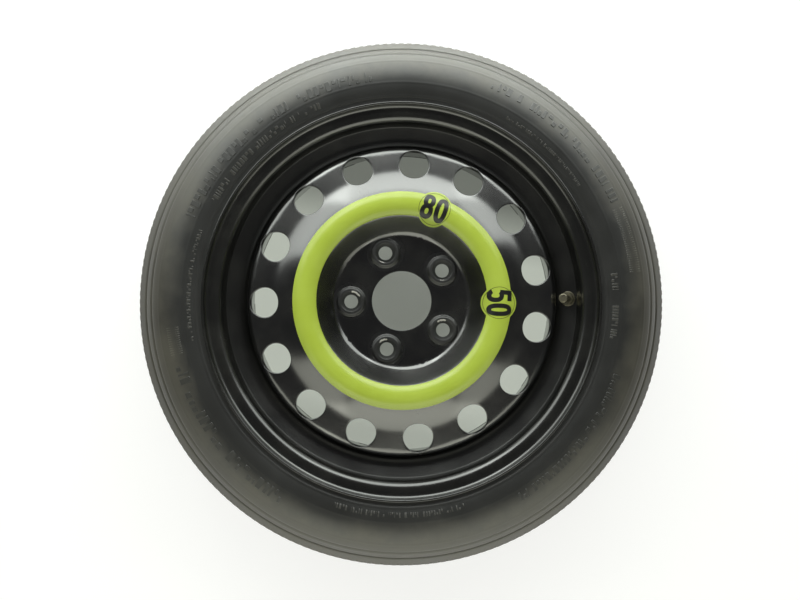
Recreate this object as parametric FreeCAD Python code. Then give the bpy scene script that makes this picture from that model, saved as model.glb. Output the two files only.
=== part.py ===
"""Temporary spare wheel: narrow tyre on a pressed steel wheel, lying face up.

Millimetres. The origin is the centre of the hub mounting face, +Z points out of
the visible face along the wheel axis, and +X points to the valve.
"""
import FreeCAD
import Part
import math
import os

V = FreeCAD.Vector
os.makedirs("parts", exist_ok=True)

# Hub
centre_bore = 67.1
bore_edge = 0.4
bolt_circle = 114.3
bolt_count = 5
bolt_start = 36.0
bolt_hole = 15.5
seat_mouth = 22.5
seat_half_angle = 35.0
seat_height = 2.6
seat_wall = 3.2
wheel_offset = 30.0

# Disc, pressed from one sheet
disc_gauge = 4.0
pad_bend = 8.0
crown_radius = 108.0
crown_rise = 27.0
crown_bend = 20.0
crown_inner_slope = 48.5
crown_outer_slope = 36.0
land_radius = 134.5
land_bend = 60.0
land_slope = 11.0
edge_bend = 9.0
disc_flange_end = -26.0
vent_count = 15
vent_start = 12.0
vent_hole = 33.4
vent_circle = 308.6

# Rim, rolled from strip
bead_seat = 405.6
bead_taper = 5.0
rim_gauge = 2.6
flange_height = 17.3
flange_curl = 8.0
flange_droop = 12.0
flange_reach = 10.8
heel_bend = 6.5
seat_width = 19.3
hump_height = 1.7
hump_width = 4.2
hump_bend = 3.0
ledge_bend = 5.0
well_depth = 25.2
well_front = 16.0
well_back = -8.0
well_bend = 8.0
sheet_edge = 1.0
disc_fit = 0.1

# Welds between disc and rim
weld_count = 10
weld_span = 18.0
weld_leg = 4.2
weld_gap = 0.05

# Tyre
tyre_diameter = 602.0
section_width = 125.0
tread_width = 60.0
tread_drop = 4.4
shoulder_angle = 45.0
shoulder_bend = 5.0
sidewall_bulge = 11.7
sidewall_foot = 4.0
sidewall_lean = 21.8
sidewall_thickness = 7.0
tread_thickness = 12.0
liner_bend = 12.0
bead_gap = 0.1
bead_width = 17.6
bead_rise = 8.0
toe_bend = 1.5
groove_places = (-0.36, -0.13, 0.13, 0.36)
groove_width = 4.2
groove_depth = 4.5

# Speed ring, a printed film on the crown
film = 0.3
film_gap = 0.05
ring_inner = 188.4
ring_outer = 240.6
tab_radius = 19.4
tab_circle = 214.0
tab_places = (-2.5, 69.5)

# Valve, along its own axis from the rim wall
valve_hole = 11.5
spot_face = 17.6
spot_depth = 0.35
stem_shank = 8.0
stem_nose = 7.6
stem_head = 14.6
head_height = 2.6
stem_length = 24.0
nose_length = 8.0
core_bore = 5.3
air_bore = 3.4
core_depth = 15.0
grommet_width = 16.0
grommet_height = 4.6
washer_width = 16.8
washer_height = 1.2
nut_flats = 13.0
nut_height = 4.0
slip = 0.15
seat_gap = 0.05
plug_length = 5.0
barrel_width = 3.7
pin_bore = 2.0
pin_width = 1.4
pin_drop = 0.8
pin_cup = 2.8
cup_height = 1.6
core_ring = 0.7
cap_width = 10.0
cap_top = 1.6
cap_ribs = 12
cap_rib_depth = 0.5
seal_height = 1.0

# Sizes that follow
middle = -wheel_offset
bead_radius = bead_seat / 2
flange_radius = bead_radius + flange_height
rim_width = section_width - 2 * sidewall_bulge
half_width = rim_width / 2
well_radius = bead_radius - well_depth
disc_radius = well_radius - rim_gauge - disc_fit
tyre_radius = tyre_diameter / 2
tread_edge_radius = tyre_radius - tread_drop
wall_left = rim_gauge - spot_depth


def tangent(degrees):
    return math.tan(math.radians(degrees))


def at(radius, height):
    return V(radius, 0, height)


def direction(a, b):
    step = at(b[0], b[1]) - at(a[0], a[1])
    return step.normalize()


def cross_point(a, along_a, b, along_b):
    """Point where the line through a meets the line through b."""
    gap = (b[0] - a[0], b[1] - a[1])
    turn = along_a[0] * along_b[1] - along_a[1] * along_b[0]
    travel = (gap[0] * along_b[1] - gap[1] * along_b[0]) / turn
    return (a[0] + travel * along_a[0], a[1] + travel * along_a[1])


def parallel(path, distance):
    """Corners of the path that runs at a distance to the left of this one."""
    moved = []
    for i, (r, z, bend) in enumerate(path):
        before = direction(path[max(i - 1, 0)], path[max(i, 1)])
        after = direction(path[min(i, len(path) - 2)], path[min(i + 1, len(path) - 1)])
        left_a = (-before.z, before.x)
        left_b = (-after.z, after.x)
        share = distance / (1 + left_a[0] * left_b[0] + left_a[1] * left_b[1])
        turn = before.x * after.z - before.z * after.x
        side = math.copysign(1.0, turn) if abs(turn) > 1e-9 else 0.0
        new_bend = max(bend - side * distance, 0.0) if bend else 0.0
        moved.append((r + share * (left_a[0] + left_b[0]), z + share * (left_a[1] + left_b[1]), new_bend))
    return moved


def rounded_face(corners):
    """Flat section from a closed list of corners (radius, height, bend)."""
    count = len(corners)
    ends = []
    arcs = []
    for i, (r, z, bend) in enumerate(corners):
        here = at(r, z)
        back = direction(corners[i], corners[i - 1])
        ahead = direction(corners[i], corners[(i + 1) % count])
        half = back.getAngle(ahead) / 2
        if bend < 1e-6 or half > math.pi / 2 - 1e-6:
            ends.append((here, here))
            arcs.append(None)
            continue
        reach = bend / math.tan(half)
        inward = (back + ahead).normalize()
        middle_point = here + inward * (bend / math.sin(half) - bend)
        ends.append((here + back * reach, here + ahead * reach))
        arcs.append(middle_point)
    edges = []
    for i in range(count):
        if arcs[i] is not None:
            edges.append(Part.Arc(ends[i][0], arcs[i], ends[i][1]).toShape())
        start, stop = ends[i][1], ends[(i + 1) % count][0]
        if (stop - start).Length > 1e-6:
            edges.append(Part.makeLine(start, stop))
    return Part.Face(Part.Wire(edges))


def spun(face, degrees=360.0):
    solid = face.revolve(V(0, 0, 0), V(0, 0, 1), degrees)
    return solid if solid.Volume > 0 else solid.reversed()


def sheet(path, gauge):
    """Section of a bent sheet: the path, and the same path one gauge to its right."""
    back = parallel(path, -gauge)
    loop = [(r, z, bend or sheet_edge) for r, z, bend in path]
    loop += [(r, z, bend or sheet_edge) for r, z, bend in reversed(back)]
    return rounded_face(loop)


def around(count, start):
    return [start + 360.0 * k / count for k in range(count)]


def turned(shape, degrees):
    copy = shape.copy()
    copy.rotate(V(0, 0, 0), V(0, 0, 1), degrees)
    return copy


def tube(outer, inner, bottom, top):
    """Straight ring about the Z axis, from its diameters and end heights."""
    ring = Part.makeCylinder(outer / 2, top - bottom, V(0, 0, bottom))
    return ring.cut(Part.makeCylinder(inner / 2, top - bottom + 2, V(0, 0, bottom - 1)))


def disc_path():
    """Front line of the disc from bore to flange end."""
    top = disc_gauge + crown_rise
    centre = (crown_radius, top - crown_bend)
    slope = math.radians(crown_outer_slope)
    outer_touch = (centre[0] + crown_bend * math.sin(slope), centre[1] + crown_bend * math.cos(slope))
    fall = (math.cos(slope), -math.sin(slope))
    climb_angle = math.radians(crown_inner_slope)
    climb = (math.cos(climb_angle), math.sin(climb_angle))
    inner_touch = (centre[0] - crown_bend * climb[1], centre[1] + crown_bend * climb[0])
    foot = cross_point(inner_touch, climb, (0.0, disc_gauge), (1.0, 0.0))
    peak = cross_point(inner_touch, climb, outer_touch, fall)
    land = cross_point(outer_touch, fall, (land_radius, 0.0), (0.0, 1.0))
    edge = (disc_radius, land[1] - (disc_radius - land_radius) * tangent(land_slope))
    return [
        (centre_bore / 2, disc_gauge, bore_edge),
        (foot[0], foot[1], pad_bend),
        (peak[0], peak[1], crown_bend),
        (land[0], land[1], land_bend),
        (edge[0], edge[1], edge_bend),
        (disc_radius, disc_flange_end, 0),
    ]


def rim_path():
    """Tyre-side line of the rim from the outer lip to the inner lip."""
    droop = math.radians(flange_droop)
    corner_rise = flange_curl * ((1 + math.sin(droop)) / math.cos(droop) - 1)
    flange = flange_radius + corner_rise
    seat_end = half_width - seat_width
    seat_radius = bead_radius - seat_width * tangent(bead_taper)
    half = [
        (flange - flange_reach * math.tan(droop), half_width + flange_reach, 0),
        (flange, half_width, flange_curl),
        (bead_radius, half_width, heel_bend),
        (seat_radius, seat_end, ledge_bend),
        (seat_radius + hump_height, seat_end - hump_width, hump_bend),
    ]
    front = [(r, middle + z, bend) for r, z, bend in half]
    back = [(r, middle - z, bend) for r, z, bend in reversed(half)]
    well = [(well_radius, middle + well_front, well_bend), (well_radius, middle + well_back, well_bend)]
    return front + well + back


def bend_reach(path, i):
    """Length of straight line that the bend at corner i takes up on each side."""
    turn = direction(path[i - 1], path[i]).getAngle(direction(path[i], path[i + 1]))
    return path[i][2] * math.tan(turn / 2)


def valve_frame():
    """Foot of the valve on its spot face in the rim wall, and the angle its axis leans in."""
    wall = rim_path()
    high, low = at(wall[4][0], wall[4][1]), at(wall[5][0], wall[5][1])
    up = direction(wall[5], wall[4])
    straight_low = low + up * bend_reach(wall, 5)
    straight_high = high - up * bend_reach(wall, 4)
    lean = math.atan2(up.z, up.x)
    out = at(-math.sin(lean), math.cos(lean))
    foot = (straight_low + straight_high) * 0.5 + out * wall_left
    return foot, lean


def on_valve(shape):
    """Move a piece drawn about the Z axis onto the valve axis."""
    foot, lean = valve_frame()
    placed = shape.copy()
    placed.rotate(V(0, 0, 0), V(0, 1, 0), -math.degrees(lean))
    placed.translate(foot)
    return placed


def make_rim():
    rim = spun(sheet(rim_path(), rim_gauge))
    hole = Part.makeCylinder(valve_hole / 2, 3 * rim_gauge, V(0, 0, -2 * rim_gauge))
    flat = Part.makeCylinder(spot_face / 2, rim_gauge, V(0, 0, 0))
    return rim.cut(on_valve(hole)).cut(on_valve(flat))


def bolt_seats():
    """The raised nut seats that stand on the hub pad."""
    mouth = seat_mouth / 2
    top = disc_gauge + seat_height
    wide, narrow = mouth + seat_wall + seat_height, mouth + seat_wall
    seat = Part.makeCone(wide, narrow, seat_height + 1.0, V(0, 0, top - seat_height - 1.0))
    seat.translate(V(bolt_circle / 2, 0, 0))
    return [turned(seat, a) for a in around(bolt_count, bolt_start)]


def bolt_cutters():
    """Stud holes with the cone that the nut is drawn into."""
    top = disc_gauge + seat_height
    deep = (seat_mouth - bolt_hole) / 2 / tangent(seat_half_angle)
    hole = Part.makeCylinder(bolt_hole / 2, top + 2, V(0, 0, -1))
    cone = Part.makeCone(bolt_hole / 2, seat_mouth / 2, deep, V(0, 0, top - deep))
    cutter = hole.fuse(cone)
    cutter.translate(V(bolt_circle / 2, 0, 0))
    return [turned(cutter, a) for a in around(bolt_count, bolt_start)]


def vent_cutters():
    """Ventilation holes, punched square to the land they sit on."""
    path = disc_path()
    height = path[3][1] - (vent_circle / 2 - land_radius) * tangent(land_slope)
    punch = Part.makeCylinder(vent_hole / 2, 2 * vent_hole, V(0, 0, -vent_hole))
    punch.rotate(V(0, 0, 0), V(0, 1, 0), land_slope)
    punch.translate(at(vent_circle / 2, height))
    return [turned(punch, a) for a in around(vent_count, vent_start)]


def make_disc():
    disc = spun(sheet(disc_path(), disc_gauge))
    disc = disc.fuse(bolt_seats())
    return disc.cut(bolt_cutters() + vent_cutters())


def make_welds():
    """Arcs of fillet weld between the disc flange end and the rim well."""
    top = disc_flange_end - weld_gap
    wall = well_radius - rim_gauge - weld_gap
    corners = [
        (wall - weld_leg, top, 0),
        (wall - weld_leg * 0.38, top - weld_leg * 0.72, weld_leg * 0.6),
        (wall, top - weld_leg, 0),
        (wall, top, 0),
    ]
    arc = spun(rounded_face(corners), weld_span)
    return Part.makeCompound([turned(arc, a) for a in around(weld_count, 0.0)])


def make_tyre():
    """Hollow section: beads on the rim seats, rounded sidewalls, grooved tread."""
    half_section = section_width / 2
    half_tread = tread_width / 2
    slope = math.radians(shoulder_angle)
    fall = (math.sin(slope), -math.cos(slope))
    edge = (tread_edge_radius, half_tread)

    # the sidewall arc touches the shoulder line and the widest line, and leans in at its foot
    meet = cross_point(edge, fall, (0.0, half_section), (1.0, 0.0))
    foot_r = flange_radius + sidewall_foot
    dip = math.radians(sidewall_lean)
    sidewall_bend = (meet[0] - foot_r) / (math.sin(dip) + math.tan((math.pi / 2 - slope) / 2))
    foot = (foot_r, half_section - sidewall_bend * (1 - math.cos(dip)))
    side = cross_point(edge, fall, foot, (math.cos(dip), math.sin(dip)))

    # the bead follows the rim with a small gap
    seat = [(r, z - middle, bend) for r, z, bend in parallel(rim_path(), bead_gap)][:4]
    wrap = flange_radius + bead_gap
    toe_z = half_width - bead_width
    toe = cross_point(seat[2], direction_pair(seat[2], seat[3]), (0.0, toe_z), (1.0, 0.0))

    outer = [(edge[0], edge[1], 0), (side[0], side[1], sidewall_bend), (foot[0], foot[1], 0)]
    inner = parallel(outer, sidewall_thickness)
    lower_in = cross_point(inner[2], (math.cos(dip), math.sin(dip)), (foot_r - bead_rise, 0.0), (0.0, 1.0))
    liner_r = tyre_radius - tread_thickness
    liner = cross_point(inner[0], fall, (liner_r, 0.0), (0.0, 1.0))
    outside = [
        (edge[0], edge[1], shoulder_bend),
        (side[0], side[1], sidewall_bend),
        (foot[0], foot[1], 0),
        (wrap, half_width + flange_curl, 0),
        (wrap, half_width - bead_gap, flange_curl + bead_gap),
        seat[2],
        (toe[0], toe[1], toe_bend),
    ]
    inside = [
        (toe[0] + 4.0, toe_z + 0.5, toe_bend),
        (lower_in[0], lower_in[1], liner_bend),
        inner[1],
        (liner[0], liner[1], liner_bend),
    ]
    upper = outside + inside
    lower = [(r, -z, bend) for r, z, bend in reversed(upper)]
    corners = upper + lower + tread_corners()
    return spun(rounded_face([(r, middle + z, bend) for r, z, bend in corners]))


def direction_pair(a, b):
    step = direction(a, b)
    return (step.x, step.z)


def crown_line(z):
    return tyre_radius - tread_drop * (2 * z / tread_width) ** 2


def tread_corners():
    """Corners of the tread from the lower edge to the upper one: straight grooves between ribs."""
    corners = []
    for place in groove_places:
        low = place * tread_width - groove_width / 2
        high = low + groove_width
        taper = groove_width * 0.12
        corners += [
            (crown_line(low), low, 0),
            (crown_line(low) - groove_depth, low + taper, 0),
            (crown_line(high) - groove_depth, high - taper, 0),
            (crown_line(high), high, 0),
        ]
    return corners


def make_ring():
    """Film on the crown: a band with two round tabs, cut from one sheet."""
    path = disc_path()
    slope_in = direction_pair(path[1], path[2])
    reach = tab_radius + 3.0
    inner = cross_point(path[1], slope_in, (tab_circle / 2 - reach, 0.0), (0.0, 1.0))
    outer = ((path[3][0] + path[4][0]) / 2, (path[3][1] + path[4][1]) / 2)
    crown = [(inner[0], inner[1], 0), path[2], path[3], (outer[0], outer[1], 0)]
    under = parallel(crown, film_gap)
    over = parallel(crown, film_gap + film)
    skin = spun(rounded_face(over + under[::-1]))
    tall = disc_gauge + crown_rise + 5.0
    band = tube(ring_outer, ring_inner, 0.0, tall)
    tab = Part.makeCylinder(tab_radius, tall, V(tab_circle / 2, 0, 0))
    outline = band.fuse([turned(tab, a) for a in tab_places])
    return skin.common(outline).removeSplitter()


def make_stem():
    """Turned valve stem: head in the tyre, shank through the rim, nose under the cap."""
    head_top = -wall_left - grommet_height - 2 * seat_gap
    nose_start = stem_length - nose_length
    corners = [
        (air_bore / 2, head_top - head_height, 0),
        (stem_head / 2, head_top - head_height, 0.6),
        (stem_head / 2, head_top, 0.4),
        (stem_shank / 2, head_top, 0),
        (stem_shank / 2, nose_start - 0.6, 0),
        (stem_nose / 2, nose_start, 0),
        (stem_nose / 2, stem_length - 0.5, 0),
        (stem_nose / 2 - 0.5, stem_length, 0),
        (core_bore / 2, stem_length, 0),
        (core_bore / 2, stem_length - core_depth + 1.0, 0),
        (air_bore / 2 + 0.3, stem_length - core_depth, 0),
        (air_bore / 2, stem_length - core_depth, 0),
    ]
    return on_valve(spun(rounded_face(corners)))


def make_grommet():
    """Rubber ring between stem head and rim, with a neck through the hole."""
    top = -wall_left - seat_gap
    bore = stem_shank / 2 + slip
    corners = [
        (bore, top - grommet_height, 0),
        (grommet_width / 2 - 0.6, top - grommet_height, 0.5),
        (grommet_width / 2, top, 0),
        (valve_hole / 2 - slip, top, 0),
        (valve_hole / 2 - slip, -seat_gap, 0),
        (bore, -seat_gap, 0),
    ]
    return on_valve(spun(rounded_face(corners)))


def make_washer():
    bottom = seat_gap
    bore = stem_shank / 2 + slip
    corners = [
        (bore, bottom, 0),
        (washer_width / 2, bottom, 0),
        (washer_width / 2, bottom + washer_height, 0.4),
        (bore, bottom + washer_height, 0),
    ]
    return on_valve(spun(rounded_face(corners)))


def make_nut():
    """Hexagon nut with chamfered corners."""
    bottom = washer_height + 2 * seat_gap
    corner = nut_flats / math.sqrt(3)
    points = [V(corner, 0, bottom)]
    points += [turned(Part.Vertex(corner, 0, bottom), 60.0 * k).Point for k in range(1, 7)]
    prism = Part.Face(Part.makePolygon(points)).extrude(V(0, 0, nut_height))
    top = bottom + nut_height
    slant = nut_height * 1.9
    dome = Part.makeCone(corner + nut_height, nut_flats / 2 - 0.2, slant, V(0, 0, top - slant))
    bore = Part.makeCylinder(stem_shank / 2 + slip, nut_height + 2, V(0, 0, bottom - 1))
    return on_valve(prism.common(dome).cut(bore))


def core_levels():
    top = stem_length - pin_drop
    bottom = stem_length - core_depth + core_ring + 2 * seat_gap
    return top, bottom


def make_core():
    """Valve core body: threaded plug on a slim barrel, bored for the pin."""
    top, bottom = core_levels()
    corners = [
        (pin_bore / 2, bottom, 0),
        (barrel_width / 2, bottom, 0.2),
        (barrel_width / 2, top - plug_length, 0),
        (core_bore / 2 - slip, top - plug_length, 0),
        (core_bore / 2 - slip, top, 0.2),
        (pin_bore / 2, top, 0),
    ]
    return on_valve(spun(rounded_face(corners)))


def make_core_seal():
    """Ring that the core is screwed down on."""
    bottom = stem_length - core_depth + seat_gap
    ring = tube(barrel_width + 0.2, pin_bore + 0.6, bottom, bottom + core_ring)
    return on_valve(ring)


def make_pin():
    """Valve pin with the cup that closes the core from below."""
    top, bottom = core_levels()
    cup_top = stem_length - core_depth - seat_gap
    corners = [
        (0, cup_top - cup_height, 0),
        (pin_cup / 2, cup_top - cup_height, 0.3),
        (pin_cup / 2, cup_top, 0.3),
        (pin_width / 2, cup_top, 0),
        (pin_width / 2, top + pin_drop * 0.6, 0.3),
        (0, top + pin_drop * 0.6, 0),
    ]
    return on_valve(spun(rounded_face(corners)))


def cap_levels():
    open_end = stem_length - nose_length + 0.6
    ceiling = stem_length + seal_height + 2 * seat_gap
    return open_end, ceiling


def make_cap():
    """Screw cap with finger ribs."""
    open_end, ceiling = cap_levels()
    bore = stem_nose / 2 + slip
    top = ceiling + cap_top
    corners = [
        (bore, open_end, 0),
        (cap_width / 2, open_end, 0.3),
        (cap_width / 2, top, 0.9),
        (0, top, 0),
        (0, ceiling, 0),
        (bore, ceiling, 0),
    ]
    cap = spun(rounded_face(corners))
    flute_start = V(cap_width / 2 + cap_rib_depth * 0.6, 0, open_end + 1.6)
    flute = Part.makeCylinder(cap_rib_depth * 1.6, top - open_end, flute_start)
    cap = cap.cut([turned(flute, a) for a in around(cap_ribs, 0.0)])
    return on_valve(cap)


def make_cap_seal():
    bottom = stem_length + seat_gap
    return on_valve(Part.makeCylinder(stem_nose / 2 - 0.2, seal_height, V(0, 0, bottom)))


PIECES = {
    "tyre": make_tyre,
    "rim": make_rim,
    "wheel_disc": make_disc,
    "weld_beads": make_welds,
    "speed_ring": make_ring,
    "valve_stem": make_stem,
    "valve_grommet": make_grommet,
    "valve_washer": make_washer,
    "valve_nut": make_nut,
    "valve_core": make_core,
    "core_seal": make_core_seal,
    "valve_pin": make_pin,
    "valve_cap": make_cap,
    "cap_seal": make_cap_seal,
}

for node, make in PIECES.items():
    make().exportStep("parts/" + node + ".step")
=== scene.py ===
"""Looks of the spare wheel: smooth surfaces, tread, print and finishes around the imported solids."""
import math

import bpy
import numpy as np
from mathutils import Matrix, Vector


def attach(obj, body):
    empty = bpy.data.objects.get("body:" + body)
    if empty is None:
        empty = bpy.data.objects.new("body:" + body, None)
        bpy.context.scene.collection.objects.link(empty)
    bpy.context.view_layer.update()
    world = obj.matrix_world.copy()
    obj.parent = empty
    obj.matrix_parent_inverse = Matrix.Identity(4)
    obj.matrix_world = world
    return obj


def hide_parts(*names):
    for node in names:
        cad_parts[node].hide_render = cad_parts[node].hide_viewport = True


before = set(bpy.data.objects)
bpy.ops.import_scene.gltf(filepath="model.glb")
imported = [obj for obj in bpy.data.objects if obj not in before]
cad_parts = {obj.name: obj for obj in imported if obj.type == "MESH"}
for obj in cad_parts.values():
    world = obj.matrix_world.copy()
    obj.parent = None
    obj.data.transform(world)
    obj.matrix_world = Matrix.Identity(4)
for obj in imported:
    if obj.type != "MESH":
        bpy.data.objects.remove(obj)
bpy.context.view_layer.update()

MM = 0.001
TURN = 2 * math.pi
# Points closer than this, in millimetres, are one
WELD = 0.002

# Wheel sizes in millimetres, in the frame of the solids
MIDDLE = -30.0
BORE_R, BOLT_R, HOLE_R, SEAT_R, BOSS_R = 33.55, 57.15, 7.75, 11.25, 17.04
BORE_EDGE, BORE_RING_R, SEAT_HALF_ANGLE, SEAT_HEIGHT, SEAT_WALL = 0.4, 36.0, 35.0, 2.6, 3.2
DISC_GAUGE, RIM_GAUGE, FIT = 4.0, 2.6, 0.1
BEAD_R, FLANGE_R, HALF_RIM = 202.8, 220.1, 50.8
FLANGE_DROOP, FLANGE_CURL, FLANGE_REACH, HEEL_BEND = 12.0, 8.0, 10.8, 6.5
BEAD_SEAT, BEAD_TAPER, LEDGE_BEND = 19.3, 5.0, 5.0
HUMP_HEIGHT, HUMP_WIDTH, HUMP_BEND = 1.7, 4.2, 3.0
WELL_R, WELL_FRONT, WELL_BACK, WELL_BEND = 177.6, 16.0, -8.0, 8.0
DISC_R, FLANGE_END, FLANGE_EDGE = WELL_R - RIM_GAUGE - FIT, -26.0, 0.9
CROWN_R, CROWN_TOP, CROWN_BEND = 108.0, 31.0, 20.0
CROWN_IN_SLOPE, CROWN_OUT_SLOPE, PAD_BEND = 48.5, 36.0, 8.0
LAND_R, LAND_BEND, LAND_SLOPE, EDGE_BEND = 134.5, 60.0, 11.0, 9.0
VENT_R, VENT_HOLE = 154.3, 16.7
VENTS, BOLTS = 15, 5
VENT_START, BOLT_START = 12.0, 36.0
RING_IN, RING_OUT = 94.2, 120.3
TAB_R, TAB_CIRCLE, TAB_PLACES = 19.4, 107.0, (-2.5, 69.5)
FILM, FILM_GAP, TAB_LIFT, PRINT_LIFT = 0.3, 0.05, 0.03, 0.07
TYRE_R, HALF_TREAD, TREAD_DROP, HALF_SECTION = 301.0, 30.0, 4.4, 62.5
SHOULDER_BEND, SIDE_FOOT, SIDE_LEAN = 5.0, 4.0, 21.8


def unit(v):
    """Vectors divided by their own length."""
    return v / np.linalg.norm(v, axis=-1, keepdims=True)


def cross_point(a, da, b, db):
    """Where the line a + t da meets the line b + u db."""
    t = ((b[0] - a[0]) * db[1] - (b[1] - a[1]) * db[0]) / (da[0] * db[1] - da[1] * db[0])
    return (a[0] + t * da[0], a[1] + t * da[1])


def bent(corners, line_step=4.0, arc_step=6.0):
    """Points along a path of (r, z, bend) corners: straight runs joined by tangent arcs c + R (cos a, sin a)."""
    pts = np.array([c[:2] for c in corners], float)
    out = [pts[:1]]
    for i in range(1, len(pts)):
        start = out[-1][-1]
        if i == len(pts) - 1:
            stop, arc = pts[i], None
        else:
            back, ahead = unit(pts[i - 1] - pts[i]), unit(pts[i + 1] - pts[i])
            half = math.acos(float(np.clip(back @ ahead, -1, 1))) / 2
            bend = corners[i][2]
            reach = bend / math.tan(half)
            stop = pts[i] + back * reach
            centre = pts[i] + unit(back + ahead) * bend / math.sin(half)
            arc = (centre, pts[i] + ahead * reach) if bend > 0 else None
        length = np.linalg.norm(stop - start)
        if length > 1e-6:
            n = max(1, int(math.ceil(length / line_step)))
            out.append(start + (stop - start) * (np.arange(1, n + 1) / n)[:, None])
        if arc is not None:
            centre, far = arc
            a0, a1 = np.arctan2(*(stop - centre)[::-1]), np.arctan2(*(far - centre)[::-1])
            sweep = (a1 - a0 + math.pi) % TURN - math.pi
            n = max(2, int(math.ceil(abs(math.degrees(sweep)) / arc_step)))
            a = a0 + sweep * np.arange(1, n + 1) / n
            out.append(centre + corners[i][2] * np.stack([np.cos(a), np.sin(a)], 1))
    return np.concatenate(out)


def left_normals(line):
    """Unit normals to the left of travel, from the mean of the neighbouring steps."""
    step = unit(np.diff(line, axis=0))
    mean = np.concatenate([step[:1], unit(step[:-1] + step[1:]), step[-1:]])
    return np.stack([-mean[:, 1], mean[:, 0]], 1)


def grid_faces(rows, cols, loop_rows=False, loop_cols=False):
    """Quads of a rows x cols grid of points, closed in either direction if asked."""
    i = np.arange(rows if loop_rows else rows - 1)
    j = np.arange(cols if loop_cols else cols - 1)
    a, b = np.meshgrid(i, j, indexing="ij")
    a2, b2 = (a + 1) % rows, (b + 1) % cols
    return np.stack([a * cols + b, a2 * cols + b, a2 * cols + b2, a * cols + b2], -1).reshape(-1, 4)


def spin_points(line, count):
    """P(i, k) = (r_i cos t_k, r_i sin t_k, z_i) for count angles t_k = 2 pi k / count."""
    t = TURN * np.arange(count) / count
    r, z = line[:, :1], line[:, 1:]
    return np.stack(np.broadcast_arrays(r * np.cos(t), r * np.sin(t), z), -1)


class Skin:
    """Collects grids of points into one mesh; points that coincide are welded."""

    def __init__(self):
        self.points, self.faces, self.size = [], [], 0

    def grid(self, points, loop_rows=False, loop_cols=False, flip=False):
        """Add a rows x cols grid of points; flip turns its faces to the other side."""
        rows, cols = points.shape[:2]
        faces = grid_faces(rows, cols, loop_rows, loop_cols)
        self.points.append(points.reshape(-1, 3))
        self.faces.append((faces[:, ::-1] if flip else faces) + self.size)
        self.size += rows * cols

    def mesh(self, name, sharp=None, weld=True):
        """Mesh in metres. Welded points share one place, and a quad that loses a corner becomes a triangle."""
        points, faces = np.concatenate(self.points), np.concatenate(self.faces)
        if weld:
            key = np.round(points / WELD).astype(np.int64)
            _, first, back = np.unique(key, axis=0, return_index=True, return_inverse=True)
            points, faces = points[first], back.reshape(-1)[faces]
            same = faces == np.roll(faces, 1, axis=1)
            count = same.sum(1)
            tri = faces[count == 1][~same[count == 1]].reshape(-1, 3)
            faces = faces[count == 0]
        else:
            tri = np.zeros((0, 3), int)
        mesh = bpy.data.meshes.new(name)
        mesh.vertices.add(len(points))
        mesh.vertices.foreach_set("co", (points * MM).astype(np.float32).ravel())
        loops = np.concatenate([faces.ravel(), tri.ravel()])
        starts = np.concatenate([np.arange(len(faces)) * 4, len(faces) * 4 + np.arange(len(tri)) * 3])
        mesh.loops.add(len(loops))
        mesh.loops.foreach_set("vertex_index", loops)
        mesh.polygons.add(len(starts))
        mesh.polygons.foreach_set("loop_start", starts)
        mesh.update(calc_edges=True)
        mesh.polygons.foreach_set("use_smooth", np.ones(len(starts), bool))
        if sharp:
            mesh.set_sharp_from_angle(angle=math.radians(sharp))
        mesh.validate()
        return mesh


def place(mesh, material, body="wheel", replaced=()):
    """Put a mesh into the scene as a piece that rides on a body."""
    obj = bpy.data.objects.new(mesh.name, mesh)
    bpy.context.scene.collection.objects.link(obj)
    mesh.materials.append(material)
    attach(obj, body)
    if replaced:
        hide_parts(*replaced)


# Finishes

def linear(hex_colour):
    """sRGB hex to linear RGBA."""
    c = np.array([int(hex_colour[i:i + 2], 16) for i in (1, 3, 5)]) / 255
    c = np.where(c <= 0.04045, c / 12.92, ((c + 0.055) / 1.055) ** 2.4)
    return (*c.tolist(), 1.0)


def grain(size_mm):
    """Noise scale that gives grains of about this size."""
    return 1.0 / (size_mm * MM)


def add(tree, kind, *values, out=0, sockets=None, **settings):
    """Add a node, set or link its first sockets in order and others by name or number, and give one output."""
    node = tree.nodes.new("ShaderNode" + kind)
    for key, value in settings.items():
        setattr(node, key, value)
    for key, value in (*enumerate(values), *(sockets or {}).items()):
        if isinstance(value, bpy.types.NodeSocket):
            tree.links.new(value, node.inputs[key])
        else:
            node.inputs[key].default_value = value
    return node.outputs[out] if node.outputs else None


def blank(name):
    """A material with an empty tree, and the place on the object in metres."""
    material = bpy.data.materials.new(name)
    material.use_nodes = True
    tree = material.node_tree
    tree.nodes.clear()
    return material, tree, add(tree, "TexCoord", out="Object")


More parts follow.
